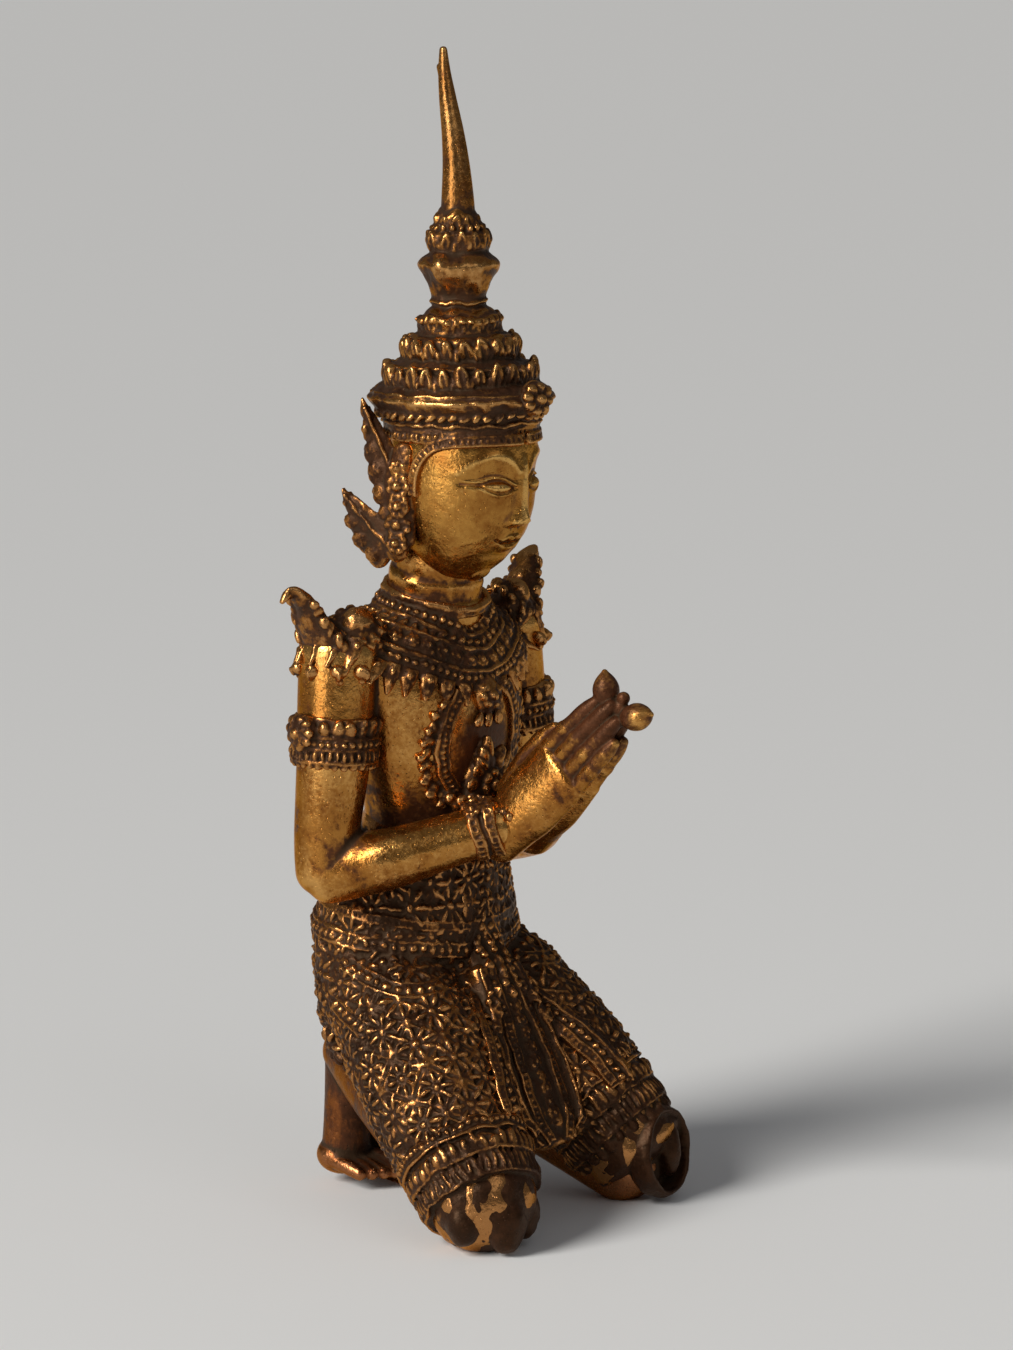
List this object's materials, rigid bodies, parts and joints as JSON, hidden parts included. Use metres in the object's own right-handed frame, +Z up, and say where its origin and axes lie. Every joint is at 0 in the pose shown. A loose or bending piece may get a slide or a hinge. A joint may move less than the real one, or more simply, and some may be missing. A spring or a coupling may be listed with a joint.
{
  "type": "kneeling statue",
  "caption": "Kneeling celestial worshipper in gilded cast bronze, hands joined with lotus buds, in a jewelled collar, patterned dress and tall spired crown.",
  "frame": {"origin": "on the ground under the middle of the figure's bounding box", "axes": "+Z up along the crown; the figure faces -Y; its right side is at -X"},
  "size_m": [0.1009, 0.1065, 0.2999],
  "materials": {
    "gilt_bronze": "worn gold leaf over red-brown lacquer, dark in the recesses"
  },
  "bodies": {
    "root": {"figure": "gilt_bronze"}
  },
  "joints": []
}
